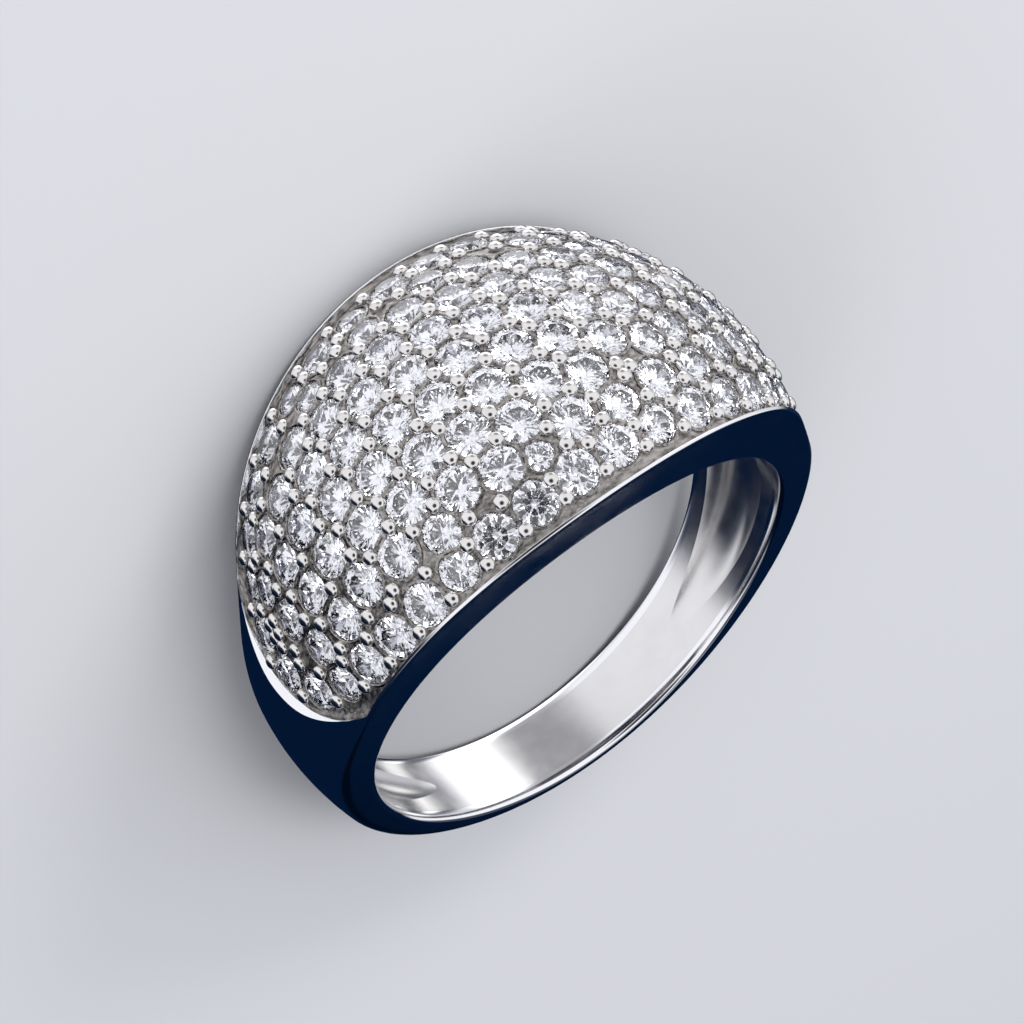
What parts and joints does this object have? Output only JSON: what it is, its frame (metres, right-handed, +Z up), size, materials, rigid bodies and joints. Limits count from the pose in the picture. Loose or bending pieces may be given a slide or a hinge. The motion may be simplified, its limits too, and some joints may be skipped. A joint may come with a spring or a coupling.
{
  "type": "pave ring",
  "caption": "Polished white metal dome ring, hollow under the dome, paved with round stones held by small beads, lying on its side.",
  "frame": {"origin": "on the ground under the middle of the ring's box, as the ring lies on its side", "axes": "+Z up, away from the ground; -Y towards the dome, +Y towards the back of the hoop; X across the hoop. The finger axis leans 12.5 degrees from +Z towards +Y."},
  "size_m": [0.0208, 0.0232, 0.0121],
  "materials": {
    "polished_silver": "mirror polish, rhodium plated",
    "clear_stone": "cut and polished, colourless"
  },
  "bodies": {
    "root": {"ring_body": "polished_silver", "pave_stones": "clear_stone"}
  },
  "joints": []
}
